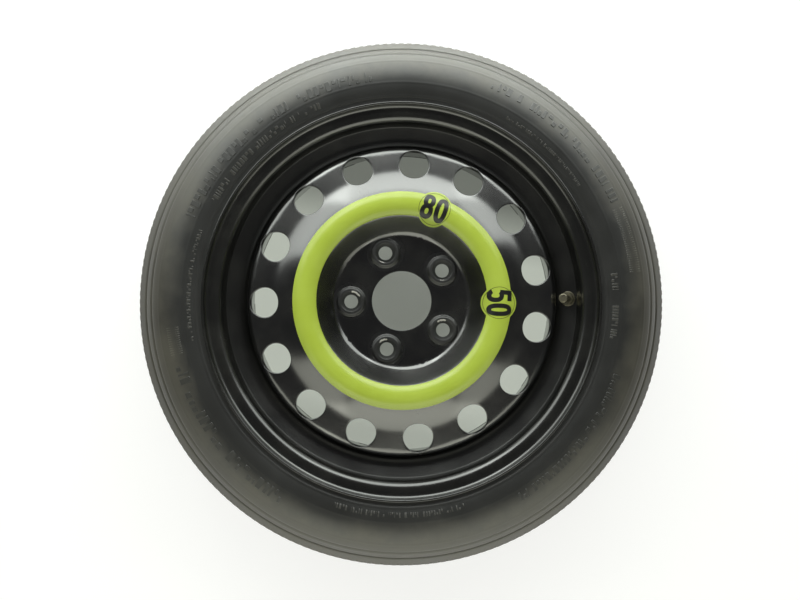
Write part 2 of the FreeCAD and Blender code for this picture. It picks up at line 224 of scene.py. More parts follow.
def black_paint(name, worn_and_glints=False, base="#060607", coat=1.0, lump_mm=5.0, lump_depth=0.004):
    """Dipped black paint on pressed steel: the eye sees deep black with clear reflections, faint orange peel and
    thin dust. Where worn, the bright-steel attribute shows painted highlights where the nut seats' mouths catch
    the lights, with some rubbed steel, and a rubbed scratch on the crown; 'handled' shows a dulled skin."""
    material, tree, spot = blank(name)
    dust = add(tree, "TexNoise", sockets={"Vector": spot, "Scale": grain(45.0), "Detail": 5.0, "Roughness": 0.55})
    specks = add(tree, "TexNoise", sockets={"Vector": spot, "Scale": grain(1.1), "Detail": 1.0, "Roughness": 0.55})
    specks = add(tree, "MapRange", specks, 0.70, 0.78, 0.0, 0.06)
    cover = add(tree, "MapRange", dust, 0.45, 0.75, 0.0, 0.035)
    cover = add(tree, "Math", cover, specks, operation="MAXIMUM")
    colour = add(tree, "Mix", cover, out=2, data_type="RGBA", sockets={6: linear(base), 7: linear("#8c8a80")})
    # IOR above paint's usual 1.5: the reflections on this paint are brighter than bare paint gives
    look = {"IOR": 1.75, "Coat Weight": coat, "Coat IOR": 1.6, "Coat Roughness": 0.17,
            "Roughness": add(tree, "MapRange", dust, 0.3, 0.75, 0.2, 0.28)}
    if worn_and_glints:
        bare_and_glint = add(tree, "Attribute", out="Fac", attribute_name="bare_and_glint")
        ragged = add(tree, "TexNoise", sockets={"Vector": spot, "Scale": grain(1.6), "Detail": 4.0, "Roughness": 0.55})
        ragged = add(tree, "Math", bare_and_glint, add(tree, "MapRange", ragged, 0.3, 0.7, 0.4, 1.5), operation="MULTIPLY")
        bare_and_glint = add(tree, "MapRange", ragged, 0.35, 0.6, 0.0, 1.0)
        # Bright steel: painted highlights on the nut seats' mouths, with some rubbed steel and a rubbed scratch on the
        # crown
        colour = add(tree, "Mix", bare_and_glint, out=2, data_type="RGBA", sockets={6: colour, 7: linear("#d8d6d0")})
        handled = add(tree, "Attribute", out="Fac", attribute_name="handled")
        dulled = add(tree, "Math", handled, 0.25, operation="MULTIPLY")
        look["Roughness"] = add(tree, "Math", look["Roughness"], dulled, operation="ADD")
        look["Coat Weight"] = add(tree, "MapRange", handled, 0.0, 1.0, 1.0, 0.1)
        look["Metallic"] = add(tree, "Math", bare_and_glint, 0.6, operation="MULTIPLY")
    peel = add(tree, "TexNoise", sockets={"Vector": spot, "Scale": grain(lump_mm), "Detail": 1.0, "Roughness": 0.55})
    look["Normal"] = add(tree, "Bump", sockets={"Height": peel, "Distance": lump_depth * MM, "Strength": 1.0})
    add(tree, "OutputMaterial", add(tree, "BsdfPrincipled", sockets={"Base Color": colour, **look}))
    return material


def tyre_rubber(name="tyre_rubber", low="#393731", high="#535045", clean="#151514"):
    """Moulded black rubber: the eye sees a satin skin with fine mould grain, grey with dust from the shoulder
    inwards and clean black by the rim."""
    material, tree, spot = blank(name)
    mould = add(tree, "TexNoise", sockets={"Vector": spot, "Scale": grain(0.7), "Detail": 3.0, "Roughness": 0.55})
    cloud = add(tree, "TexNoise", sockets={"Vector": spot, "Scale": grain(60.0), "Detail": 5.0, "Roughness": 0.6})
    flat = add(tree, "VectorMath", spot, (1, 1, 0), operation="MULTIPLY")
    far = add(tree, "VectorMath", flat, out="Value", operation="LENGTH")
    far = add(tree, "Math", far, add(tree, "MapRange", cloud, 0.3, 0.7, -0.008, 0.008), operation="ADD")
    dusty = add(tree, "Mix", add(tree, "MapRange", cloud, 0.35, 0.75, 0.0, 0.5), out=2, data_type="RGBA",
                sockets={6: linear(low), 7: linear(high)})
    colour = add(tree, "Mix", add(tree, "MapRange", far, 0.243, 0.264, 0.0, 1.0), out=2, data_type="RGBA",
                 sockets={6: linear(clean), 7: dusty})
    add(tree, "OutputMaterial", add(tree, "BsdfPrincipled", sockets={
        "Base Color": colour, "IOR": 1.65, "Roughness": add(tree, "MapRange", cloud, 0.3, 0.75, 0.42, 0.56),
        "Normal": add(tree, "Bump", sockets={"Height": mould, "Distance": 0.03 * MM, "Strength": 0.6})}))
    return material


def lime_film():
    """Lime vinyl film: the eye sees an even semi-gloss colour with slight waves from the glue under it."""
    material, tree, spot = blank("lime_film")
    cloud = add(tree, "TexNoise", sockets={"Vector": spot, "Scale": grain(30.0), "Detail": 3.0, "Roughness": 0.55})
    wave = add(tree, "TexNoise", sockets={"Vector": spot, "Scale": grain(9.0), "Detail": 2.0, "Roughness": 0.55})
    colour = add(tree, "Mix", add(tree, "MapRange", cloud, 0.3, 0.7, 0.0, 1.0), out=2, data_type="RGBA",
                 sockets={6: linear("#a3b540"), 7: linear("#a9bb4a")})
    add(tree, "OutputMaterial", add(tree, "BsdfPrincipled", sockets={
        "Base Color": colour, "Roughness": 0.28, "IOR": 1.5,
        "Normal": add(tree, "Bump", sockets={"Height": wave, "Distance": 0.03 * MM, "Strength": 1.0})}))
    return material


def black_print():
    """Black screen print on the film: the eye sees flat, slightly uneven ink."""
    material, tree, spot = blank("black_print")
    tone = add(tree, "TexNoise", sockets={"Vector": spot, "Scale": grain(4.0), "Detail": 3.0, "Roughness": 0.55})
    colour = add(tree, "Mix", add(tree, "MapRange", tone, 0.3, 0.7, 0.0, 1.0), out=2, data_type="RGBA",
                 sockets={6: linear("#101010"), 7: linear("#1c1c1a")})
    add(tree, "OutputMaterial", add(tree, "BsdfPrincipled", sockets={"Base Color": colour, "Roughness": 0.38}))
    return material


def metal(name, hex_a, hex_b, rough_a, rough_b):
    """Turned or plated metal: the eye sees a bright skin, clouded by age, with fine turning marks."""
    material, tree, spot = blank(name)
    tone = add(tree, "TexNoise", sockets={"Vector": spot, "Scale": grain(4.0), "Detail": 4.0, "Roughness": 0.55})
    marks = add(tree, "TexNoise", sockets={"Vector": spot, "Scale": grain(0.5), "Detail": 2.0, "Roughness": 0.55})
    colour = add(tree, "Mix", add(tree, "MapRange", tone, 0.3, 0.7, 0.0, 1.0), out=2, data_type="RGBA",
                 sockets={6: linear(hex_a), 7: linear(hex_b)})
    add(tree, "OutputMaterial", add(tree, "BsdfPrincipled", sockets={
        "Base Color": colour, "Metallic": 1.0, "Roughness": add(tree, "MapRange", tone, 0.3, 0.7, rough_a, rough_b),
        "Normal": add(tree, "Bump", sockets={"Height": marks, "Distance": 0.004 * MM, "Strength": 1.0})}))
    return material


def seal_rubber():
    """Soft black rubber of the small seals: the eye sees a matt, even black."""
    material, tree, spot = blank("seal_rubber")
    skin = add(tree, "TexNoise", sockets={"Vector": spot, "Scale": grain(0.4), "Detail": 2.0, "Roughness": 0.55})
    colour = add(tree, "Mix", add(tree, "MapRange", skin, 0.3, 0.7, 0.0, 1.0), out=2, data_type="RGBA",
                 sockets={6: linear("#161616"), 7: linear("#222222")})
    add(tree, "OutputMaterial", add(tree, "BsdfPrincipled", sockets={
        "Base Color": colour, "Roughness": 0.6,
        "Normal": add(tree, "Bump", sockets={"Height": skin, "Distance": 0.01 * MM, "Strength": 1.0})}))
    return material


rim_paint = black_paint("dusty_black_paint", base="#141413", coat=0.2)
# Disc paint: wear, and painted highlights on the nut seats' mouths
worn_and_glint_paint = black_paint("worn_black_paint_and_painted_glints", worn_and_glints=True)
weld_paint = black_paint("painted_weld", lump_mm=2.5, lump_depth=0.12)
rubber, dusted = tyre_rubber(), tyre_rubber("dusted_tyre_rubber", "#4a483f", "#625f54", "#302f2b")
clean_rubber = tyre_rubber("clean_tyre_rubber", "#232320", "#34322c", "#1f1f1d")
lime, ink = lime_film(), black_print()
plated = metal("aged_nickel_plate", "#aaa592", "#857f6c", 0.24, 0.40)
brass = metal("turned_brass", "#c9a55c", "#b08d48", 0.22, 0.34)
seal = seal_rubber()

for node, material in {
    "weld_beads": weld_paint, "valve_stem": plated, "valve_washer": plated, "valve_nut": plated, "valve_cap": plated,
    "valve_core": brass, "valve_pin": brass, "valve_grommet": seal, "core_seal": seal, "cap_seal": seal,
}.items():
    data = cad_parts[node].data
    data.materials.clear()
    data.materials.append(material)


# Rim

RIM_ROUND, END_BULGE = 400, 0.55


def rim_line():
    """Tyre-side corners of the rolled rim from the outer lip to the inner lip."""
    droop = math.radians(FLANGE_DROOP)
    corner = FLANGE_R + FLANGE_CURL * ((1 + math.sin(droop)) / math.cos(droop) - 1)
    seat_end = HALF_RIM - BEAD_SEAT
    seat_r = BEAD_R - BEAD_SEAT * math.tan(math.radians(BEAD_TAPER))
    half = [(corner - FLANGE_REACH * math.tan(droop), HALF_RIM + FLANGE_REACH, 0), (corner, HALF_RIM, FLANGE_CURL),
            (BEAD_R, HALF_RIM, HEEL_BEND), (seat_r, seat_end, LEDGE_BEND),
            (seat_r + HUMP_HEIGHT, seat_end - HUMP_WIDTH, HUMP_BEND)]
    front = [(r, MIDDLE + z, b) for r, z, b in half]
    back = [(r, MIDDLE - z, b) for r, z, b in reversed(half)]
    well = [(WELL_R, MIDDLE + WELL_FRONT, WELL_BEND), (WELL_R, MIDDLE + WELL_BACK, WELL_BEND)]
    return front + well + back


def sheet_loop(line, gauge):
    """Closed outline of a bent sheet: the line, a rounded end, the line one gauge to its right, a rounded end."""
    normal = left_normals(line)
    back = line - normal * gauge
    ends = []
    for k, sign in ((-1, 1), (0, -1)):
        along = sign * np.array([normal[k, 1], -normal[k, 0]])
        mid = line[k] - normal[k] * gauge / 2
        a = np.radians(np.linspace(15, 165, 9))[:, None]
        cap = mid + (gauge / 2) * (np.cos(a) * normal[k] * sign + np.sin(a) * along * END_BULGE)
        ends.append(cap)
    return np.concatenate([line, ends[0], back[::-1], ends[1]])


def make_rim():
    """Rim: sheet_loop(rim_line) turned about the axis."""
    outline = sheet_loop(bent(rim_line(), line_step=5.0, arc_step=9.0), RIM_GAUGE)
    skin = Skin()
    skin.grid(spin_points(outline, RIM_ROUND), loop_rows=True, loop_cols=True)
    place(skin.mesh("rim_barrel", weld=False), rim_paint, replaced=["rim"])


# Disc

def disc_line():
    """Front corners of the pressed disc from bore to flange end."""
    top, slope, climb = CROWN_TOP - CROWN_BEND, math.radians(CROWN_OUT_SLOPE), math.radians(CROWN_IN_SLOPE)
    outer = (CROWN_R + CROWN_BEND * math.sin(slope), top + CROWN_BEND * math.cos(slope))
    inner = (CROWN_R - CROWN_BEND * math.sin(climb), top + CROWN_BEND * math.cos(climb))
    fall, rise = (math.cos(slope), -math.sin(slope)), (math.cos(climb), math.sin(climb))
    foot = cross_point(inner, rise, (0, DISC_GAUGE), (1, 0))
    peak = cross_point(inner, rise, outer, fall)
    land = cross_point(outer, fall, (LAND_R, 0), (0, 1))
    edge = (DISC_R, land[1] - (DISC_R - LAND_R) * math.tan(math.radians(LAND_SLOPE)))
    return [(BORE_R, DISC_GAUGE, 0), (*foot, PAD_BEND), (*peak, CROWN_BEND), (*land, LAND_BEND), (*edge, EDGE_BEND),
            (DISC_R, FLANGE_END, 0)]


class DiscFront:
    """The disc's front line by arc length s from the bore, with its normals."""

    def __init__(self):
        self.line = bent(disc_line(), line_step=1.0, arc_step=2.0)
        self.out = left_normals(self.line)
        self.s = np.concatenate([[0], np.cumsum(np.linalg.norm(np.diff(self.line, axis=0), axis=1))])

    def at(self, s, t, depth=0.0):
        """Point of the line at arc length s, moved by depth into the sheet and turned by t about the axis."""
        r = np.interp(s, self.s, self.line[:, 0]) - depth * np.interp(s, self.s, self.out[:, 0])
        z = np.interp(s, self.s, self.line[:, 1]) - depth * np.interp(s, self.s, self.out[:, 1])
        return np.stack(np.broadcast_arrays(r * np.cos(t), r * np.sin(t), z), -1)

    def s_of(self, r):
        """Arc length at which the line reaches plan radius r."""
        return np.interp(r, self.line[:, 0], self.s)


ROUND, PAD_R = 360, 78.0
HANDLED_REACH = 19.0
VENT_FROM, VENT_TO, VENT_EDGE = 136.0, DISC_R - 0.6, 0.8
VENT_SIDE, BOLT_SIDE = 14, 18
# Rows of the grids: 0 at the hole or nut seat, 1 at the edge of its sector
VENT_ROWS = np.linspace(0, 1, 9) ** 1.25
BOLT_ROWS, UNDER_ROWS = np.linspace(0, 1, 8)[1:] ** 1.2, np.linspace(0, 1, 7)
# Painted highlight arcs where the nut seats' mouths catch the lights, facing up on the lower seats and down on
# the upper ones, with some rubbed steel; the last is a rubbed scratch on the crown's inner slope. Columns: centre
# radius, centre angle, arc radius, facing angle, half length in degrees, half width, strength
RUBBED_AND_GLINT_ARCS = ((BOLT_R, 180.0, 11.2, 58.0, 30.0, 1.2, 1.0), (BOLT_R, 324.0, 11.2, 100.0, 28.0, 1.2, 1.0),
          (BOLT_R, 252.0, 11.2, 111.0, 26.0, 1.2, 1.0), (BOLT_R, 36.0, 11.0, 268.0, 30.0, 0.8, 0.55),
          (BOLT_R, 108.0, 11.0, 250.0, 24.0, 0.8, 0.6), (0.0, 0.0, 87.5, 37.5, 7.0, 0.6, 0.6))
disc = DiscFront()


def sector_frame(s0, s1, span, n_arc, n_side):
    """Points (s, t) round the edge of a sector, anticlockwise, with even steps on every side."""
    t = np.linspace(-span / 2, span / 2, n_arc + 1)
    s = np.linspace(s0, s1, n_side + 1)
    bottom = np.stack([np.full(n_arc, s0), t[:-1]], 1)
    right = np.stack([s[:-1], np.full(n_side, span / 2)], 1)
    top = np.stack([np.full(n_arc, s1), t[::-1][:-1]], 1)
    left = np.stack([s[::-1][:-1], np.full(n_side, -span / 2)], 1)
    return np.concatenate([bottom, right, top, left])


def vent_grids(skin):
    """Land with round vents: in each sector rings run from the hole edge to the sector's edge,
    P(w) = hole + (edge - hole) w in arc length and angle; the hole's edges are rounded."""
    s0, s1, sc = disc.s_of(VENT_FROM), disc.s_of(VENT_TO), disc.s_of(VENT_R)
    frame_pts = sector_frame(s0, s1, TURN / VENTS, ROUND // VENTS, VENT_SIDE)
    direction = np.stack([frame_pts[:, 0] - sc, frame_pts[:, 1] * VENT_R], 1)
    phi = np.arctan2(direction[:, 1], direction[:, 0])

    # the round hole is punched square to the sloping land, so it is foreshortened in plan
    radius = VENT_HOLE + VENT_EDGE
    plan_r = VENT_R + radius * np.cos(phi) * math.cos(math.radians(LAND_SLOPE))
    rim_pts = np.stack([disc.s_of(plan_r), radius * np.sin(phi) / plan_r], 1)
    front = rim_pts + (frame_pts - rim_pts) * VENT_ROWS[:, None, None]
    for k in range(VENTS):
        turn = math.radians(VENT_START + 360.0 / VENTS * k)
        outer = disc.at(front[..., 0], front[..., 1] + turn)
        inner = disc.at(front[..., 0], front[..., 1] + turn, DISC_GAUGE)
        skin.grid(outer, loop_cols=True, flip=True)
        skin.grid(inner, loop_cols=True)
        top, low = outer[0], inner[0]
        down = unit(low - top)
        away = unit(outer[1] - outer[0])
        a = np.radians(np.linspace(0, 90, 5))[:, None, None]
        inwards, across = VENT_EDGE * (1 - np.cos(a)) * down, VENT_EDGE * np.sin(a) * away
        wall = np.concatenate([top + inwards - across, (low - inwards - across)[::-1]])
        skin.grid(wall, loop_cols=True)


def bolt_grids(skin):
    """Hub pad with raised nut seats: circles round each stud hole, then rings out to the sector's edge;
    outside the seat's mouth the height is the larger of the seat's profile and the pressed disc."""
    frame_pts = sector_frame(BORE_RING_R, PAD_R, TURN / BOLTS, ROUND // BOLTS, BOLT_SIDE)
    plan = frame_pts[:, :1] * np.stack([np.cos(frame_pts[:, 1]), np.sin(frame_pts[:, 1])], 1)
    hub = np.array([BOLT_R, 0.0])
    phi = np.arctan2(*(plan - hub).T[::-1])
    ring = np.stack([np.cos(phi), np.sin(phi)], 1)
    deep = (SEAT_R - HOLE_R) / math.tan(math.radians(SEAT_HALF_ANGLE))
    top = DISC_GAUGE + SEAT_HEIGHT
    profile = bent([(HOLE_R, 0, 0), (HOLE_R, top - deep, 0.5), (SEAT_R, top, 0.7), (SEAT_R + SEAT_WALL, top, 1.6),
                    (BOSS_R - 0.1, DISC_GAUGE, 0.9), (BOSS_R, DISC_GAUGE, 0)], line_step=1.2, arc_step=20.0)
    radius, height = profile[:, 0][:, None, None], profile[:, 1][:, None]
    edge = hub + BOSS_R * ring
    outer = edge + (plan - edge) * BOLT_ROWS[:, None, None]
    hole = hub + HOLE_R * ring
    under = hole + (plan - hole) * UNDER_ROWS[:, None, None]

    def lay(points, turn, depth=0.0):
        """Plan points laid on the disc's face, or at a depth into the sheet, and turned about the axis."""
        r = np.hypot(points[..., 0], points[..., 1])
        return disc.at(disc.s_of(r), np.arctan2(points[..., 1], points[..., 0]) + turn, depth)

    for k in range(BOLTS):
        turn = math.radians(BOLT_START + 360.0 / BOLTS * k)
        seat = lay(hub + radius * ring, turn)
        seat[..., 2] = np.where(radius[..., 0] > SEAT_R, np.maximum(seat[..., 2], height), height)
        skin.grid(np.concatenate([seat, lay(outer, turn)]), loop_cols=True, flip=True)
        low = lay(under, turn, DISC_GAUGE)
        low[0, :, 2] = 0.0
        skin.grid(low, loop_cols=True)


def between(s0, s1, step, near=0.3):
    """Arc lengths from s0 to s1: every step-th one of the line's own, less those too near the ends."""
    keep = disc.s[(disc.s > s0 + near) & (disc.s < s1 - near)]
    keep = keep[::step] if len(keep) > step else keep
    return np.concatenate([[s0], keep, [s1]])


def make_disc():
    """Disc: turned bands and holed sectors of one sheet, front and back, welded along their shared edges."""
    skin = Skin()
    t = TURN * np.arange(ROUND) / ROUND
    vent_grids(skin)
    bolt_grids(skin)
    a = np.radians(np.linspace(0, 90, 4))
    sine, cosine = BORE_EDGE * (1 - np.sin(a)), BORE_EDGE * (1 - np.cos(a))
    bore = np.concatenate([[(BORE_RING_R, 0.0)], np.stack([BORE_R + sine, cosine], 1),
                           np.stack([BORE_R + cosine, DISC_GAUGE - sine], 1), [(BORE_RING_R, DISC_GAUGE)]])
    skin.grid(spin_points(bore, ROUND), loop_cols=True)
    s_pad, s_land, s_edge = disc.s_of(PAD_R), disc.s_of(VENT_FROM), disc.s_of(VENT_TO)
    s_end = disc.s[-1] - FLANGE_EDGE
    for s0, s1 in ((s_pad, s_land), (s_edge, s_end)):
        s = between(s0, s1, 3)[:, None]
        skin.grid(disc.at(s, t), loop_cols=True)
        skin.grid(disc.at(s, t, DISC_GAUGE), loop_cols=True, flip=True)
    a = np.radians(np.linspace(0, 90, 5))
    rise, shrink = FLANGE_END + FLANGE_EDGE * (1 - np.sin(a)), FLANGE_EDGE * (1 - np.cos(a))
    lip = np.concatenate([np.stack([DISC_R - shrink, rise], 1),
                          np.stack([DISC_R - DISC_GAUGE + shrink, rise], 1)[::-1]])
    skin.grid(spin_points(lip, ROUND), loop_cols=True)
    mesh = skin.mesh("disc_plate")
    co = np.empty(len(mesh.vertices) * 3, np.float32)
    mesh.vertices.foreach_get("co", co)
    spots = co.reshape(-1, 3) / MM
    # Point attributes: painted highlights with some rubbed steel, and dulled paint round the nut seats
    for name, values in (("bare_and_glint", bare_steel_and_glints(spots)), ("handled", handled_paint(spots))):
        mesh.attributes.new(name, "FLOAT", "POINT").data.foreach_set("value", values.astype(np.float32))
    place(mesh, worn_and_glint_paint, replaced=["wheel_disc"])


def bare_steel_and_glints(p):
    """Painted highlight arcs on the mouths of the nut seats, with some rubbed steel, and a rubbed arc on the crown's
    inner slope, seen from the front: bands strength exp(-(distance / half width)^2) exp(-(angle / half length)^4)."""
    out = np.zeros(len(p))
    for far, where, radius, facing, half, width, strength in RUBBED_AND_GLINT_ARCS:
        a = math.radians(where)
        x, y = p[:, 0] - far * math.cos(a), p[:, 1] - far * math.sin(a)
        off = (np.degrees(np.arctan2(y, x)) - facing + 180) % 360 - 180
        band = np.exp(-((np.hypot(x, y) - radius) / width) ** 2) * np.exp(-(off / half) ** 4)
        out = np.maximum(out, strength * band * (p[:, 2] > 0.5))
    return out


def handled_paint(p):
    """Dulled paint round the nut seats: exp(-(d / reach)^6) of the distance d from the nearest stud hole."""
    a = np.radians(BOLT_START + 360.0 / BOLTS * np.arange(BOLTS))
    away = np.hypot(p[:, :1] - BOLT_R * np.cos(a), p[:, 1:2] - BOLT_R * np.sin(a)).min(1)
    return np.exp(-(away / HANDLED_REACH) ** 6)


# Speed ring

FILM_ROUND, FILM_ROWS, TAB_ROUND, TAB_ROWS = 720, 25, 120, 22
PRINT_RING, RING_STROKE, FIGURE_STROKE, FIGURE_SHIFT, FIGURE_SCALE = 17.4, 0.5, 5.0, 7.6, 1.06


def crown_height(r):
    """Height of the film's face over plan radius r."""
    line = disc.line + disc.out * (FILM + FILM_GAP)
    keep = (line[:, 0] > PAD_R + 2) & (line[:, 0] < LAND_R - 0.5)
    return np.interp(r, line[keep, 0], line[keep, 1])


def on_crown(x, y, lift=0.0):
    """Plan points raised to the film's face, and by a lift above it."""
    return np.stack([x, y, crown_height(np.hypot(x, y)) + lift], -1)


def make_film():
    """Film: a band about the axis and two round tabs, each closed: its face at crown height, its back by the paint."""
    skin = Skin()
    t = TURN * np.arange(FILM_ROUND) / FILM_ROUND
    r = np.linspace(RING_IN, RING_OUT, FILM_ROWS)[:, None]
    x, y = r * np.cos(t), r * np.sin(t)
    skin.grid(np.concatenate([on_crown(x, y), on_crown(x, y, -FILM)[::-1]]), loop_rows=True, loop_cols=True)
    d = np.linspace(0.0, TAB_R, TAB_ROWS)[:, None]
    u = TURN * np.arange(TAB_ROUND) / TAB_ROUND
    for place_deg in TAB_PLACES:
        a = math.radians(place_deg)
        x = TAB_CIRCLE * math.cos(a) + d * np.cos(u)
        y = TAB_CIRCLE * math.sin(a) + d * np.sin(u)
        skin.grid(np.concatenate([on_crown(x, y, TAB_LIFT), on_crown(x, y, -FILM)[::-1]]), loop_cols=True)
    place(skin.mesh("speed_film", sharp=50), lime, replaced=["speed_ring"])


def stroke(path, width, closed):
    """Ribbon of a given width along a flat path: path(t) +- width / 2 times its normal."""
    step = np.roll(path, -1, 0) - np.roll(path, 1, 0) if closed else np.gradient(path, axis=0)
    n = unit(np.stack([-step[:, 1], step[:, 0]], 1))
    across = np.linspace(-0.5, 0.5, 5)[:, None, None] * width
    return path + n * across


def oval(cx, cy, rx, ry, a0=0.0, a1=360.0, n=64, power=2.6):
    """Superellipse x = rx |cos a|^(2/p), y = ry |sin a|^(2/p), in the digit's own plane."""
    a = np.radians(np.linspace(a0, a1, n, endpoint=abs(a1 - a0) < 360.0))
    c, s = np.cos(a), np.sin(a)
    x, y = np.sign(c) * np.abs(c) ** (2 / power), np.sign(s) * np.abs(s) ** (2 / power)
    return np.stack([cx + rx * x, cy + ry * y], 1)


def digit(figure):
    """Centre lines of a condensed figure about 21 mm tall and 9 mm wide, each with whether it is closed."""
    if figure == "0":
        return [(oval(0, 0, 4.2, 10.6, n=90), True)]
    if figure == "8":
        return [(oval(0, 5.6, 3.9, 5.0, n=70, power=2.2), True), (oval(0, -5.2, 4.3, 5.4, n=70, power=2.2), True)]
    bar = np.stack([np.linspace(5.2, -3.6, 20), np.full(20, 10.6)], 1)
    stem = np.stack([np.linspace(-3.4, -3.9, 20), np.linspace(12.9, 0.4, 20)], 1)
    bowl = oval(-0.4, -4.2, 4.7, 6.4, 140.0, -150.0, n=60, power=2.3)
    return [(bar, False), (stem, False), (bowl, False)]


def make_print():
    """Numbers and rings printed on the tabs, laid on the film along outward-up axes of each tab. Each ribbon has
    a face and a back; the ends of an open one run together in the middle of its section."""
    skin = Skin()
    for place_deg, text in zip(TAB_PLACES, ("50", "80")):
        a = math.radians(place_deg)
        up = np.array([math.cos(a), math.sin(a)])
        across = np.array([math.sin(a), -math.cos(a)])
        centre = TAB_CIRCLE * up
        lines = [(oval(0, 0, PRINT_RING, PRINT_RING, n=160, power=2.0), True, RING_STROKE)]
        for figure, shift in zip(text, (-FIGURE_SHIFT, FIGURE_SHIFT)):
            lines += [(path * FIGURE_SCALE + [shift, 0.0], closed, FIGURE_STROKE) for path, closed in digit(figure)]
        for path, closed, width in lines:
            ribbon = stroke(path, width, closed)
            x = centre[0] + ribbon[..., 0] * across[0] + ribbon[..., 1] * up[0]
            y = centre[1] + ribbon[..., 0] * across[1] + ribbon[..., 1] * up[1]
            shape = np.concatenate([on_crown(x, y, PRINT_LIFT), on_crown(x, y)[::-1]])
            if not closed:
                ends = np.broadcast_to(shape[:, [0, -1]].mean(0), (len(shape), 2, 3))
                shape = np.concatenate([ends[:, :1], shape, ends[:, 1:]], 1)
            skin.grid(shape, loop_rows=True, loop_cols=closed, flip=True)
    place(skin.mesh("number_print", sharp=50), ink)


# Tyre

SLOTS, SLOT_STEPS, SIDE_ROUND = 200, 6, 640
# Points of the outer line that the tread keeps: those near a rib or groove, and one in so many
KEEP_NEAR, KEEP_EACH = 1.7, 4
GROOVES, GROOVE_HALF, GROOVE_DEPTH = (7.8, 21.6), 2.1, 4.5
SLOT_DEPTH, SLOT_FROM, SLOT_R = 2.2, 24.5, 294.6
SIPE_DEPTH, RIB_SIPE, MIDDLE_SIPE = 2.0, (11.0, 18.5), 4.0
GROOVE_EDGES = [g + d for g in GROOVES for d in (-GROOVE_HALF, -1.6, 1.6, GROOVE_HALF)]
TREAD_STEPS = sorted([0.0, 3.0] + GROOVE_EDGES + [12.5, 15.5, 18.0, 25.0, 27.0])
# Moulded bars: how deep their backs lie, the slope at their edges, and sizes and gaps in bar lengths
SUNK, BAR_SLOPE, SLOPE_SHARE = 0.1, 0.45, 0.3
BAR_SIZES, BAR_GAPS, BAR_CUTS, LEFT_OUT = (0.35, 1.2), (0.25, 0.5), [0.0, 0.0, 0.45, 0.55], 0.15
RIB_STEP, RIB_WIDTH, RIB_HEIGHT = 0.55, 0.3, 0.4
# Where the sides meet the tread, and the inside of the tyre from the bead's toe to the middle as (r, z, bend)
SPLIT_R = 281.5
LINER = [(BEAD_R - 1.44, 33.2, 1.5), (BEAD_R + 2.5, 33.7, 1.5), (215.3, 42.0, 12.0), (252.0, 56.0, 45.0),
         (289.0, 27.0, 12.0), (289.0, 0.0, 0)]
UNDER_TREAD = [(292.0, 0.0), (292.0, 22.0), (283.0, 38.0)]
TREAD_BACK = np.array([(282.5, 38.0), (291.0, 22.0), (291.0, -22.0), (282.5, -38.0)])
# Ribs and grooves round the sidewall: radius, height, half width
TYRE_MARKS = ((286.0, -1.1, 0.9), (277.4, -1.1, 0.9), (225.9, 0.4, 0.8), (267.0, 0.3, 0.5), (240.6, 0.3, 0.5))
# Rows of bars: from, to, inner radius, outer radius, bar length, height
LARGE_MARKS = ((97, 158, 243.5, 255.0, 5.0, 0.6), (24, 66, 254.0, 264.5, 5.0, 0.6),
               (196, 238, 245.0, 258.0, 6.0, 0.6), (300, 340, 244.5, 254.0, 4.5, 0.5))
SMALL_MARKS = ((112, 152, 229.5, 236.5, 3.2, 0.4), (32, 60, 231.0, 234.5, 2.0, 0.3),
               (250, 286, 230.5, 236.0, 2.4, 0.3), (160, 190, 231.0, 235.5, 2.4, 0.3),
               (348, 366, 231.0, 238.0, 2.6, 0.3))
RIB_ROWS = ((6, 22, 252.0, 265.0), (186, 193, 245.0, 259.0))


def tyre_side():
    """Corners of the tyre's upper half: outside from the middle of the tread to the foot, then bead and inside."""
    crown = [(TYRE_R - TREAD_DROP * (z / HALF_TREAD) ** 2, z, 0) for z in TREAD_STEPS]
    edge = (TYRE_R - TREAD_DROP, HALF_TREAD)
    fall = (math.sqrt(0.5), -math.sqrt(0.5))
    meet = cross_point(edge, fall, (0, HALF_SECTION), (1, 0))
    foot_r, dip = FLANGE_R + SIDE_FOOT, math.radians(SIDE_LEAN)
    bend = (meet[0] - foot_r) / (math.sin(dip) + math.tan(math.pi / 8))
    foot = (foot_r, HALF_SECTION - bend * (1 - math.cos(dip)))
    side = cross_point(edge, fall, foot, (math.cos(dip), math.sin(dip)))
    wrap, seat = FLANGE_R + FIT, HALF_RIM - FIT
    bead = [(*foot, 0), (wrap, HALF_RIM + FLANGE_CURL, 0), (wrap, seat, FLANGE_CURL + FIT),
            (BEAD_R + FIT, seat, HEEL_BEND - FIT)] + LINER
    return crown + [(*edge, SHOULDER_BEND), (*side, bend), (*foot, 0)], bead


def relief(line, marks):
    """Line with small round ribs (+) or grooves (-): height * exp(-(distance / width)^4) along its normal."""
    normal = -left_normals(line)
    out = line.copy()
    for r, height, width in marks:
        out += normal * (height * np.exp(-((line[:, 0] - r) / width) ** 4))[:, None]
    return out


def make_tyre_sides():
    """Each sidewall from the shoulder line to the bead, with its liner, closed under the tread and turned about
    the axis."""
    outer, bead = tyre_lines()
    split = np.argmax(outer[:, 0] <= SPLIT_R)
    half = np.concatenate([outer[split:], bead[1:], UNDER_TREAD])
    for name, sign in (("tyre_front_side", 1), ("tyre_back_side", -1)):
        skin = Skin()
        ring = spin_points(half * [1, sign] + [0, MIDDLE], SIDE_ROUND)
        skin.grid(ring, loop_rows=True, loop_cols=True, flip=sign > 0)
        replaced = ["tyre"] if sign > 0 else ()
        place(skin.mesh(name, sharp=50, weld=False), rubber, replaced=replaced)


def tyre_lines():
    """The outer line from the tread's middle to the foot with its ribs and shoulder grooves, and the bead's line."""
    corners, bead = tyre_side()
    outer = bent(corners, line_step=0.9, arc_step=1.4)
    return relief(outer, TYRE_MARKS), bent(bead, line_step=4.0, arc_step=12.0)


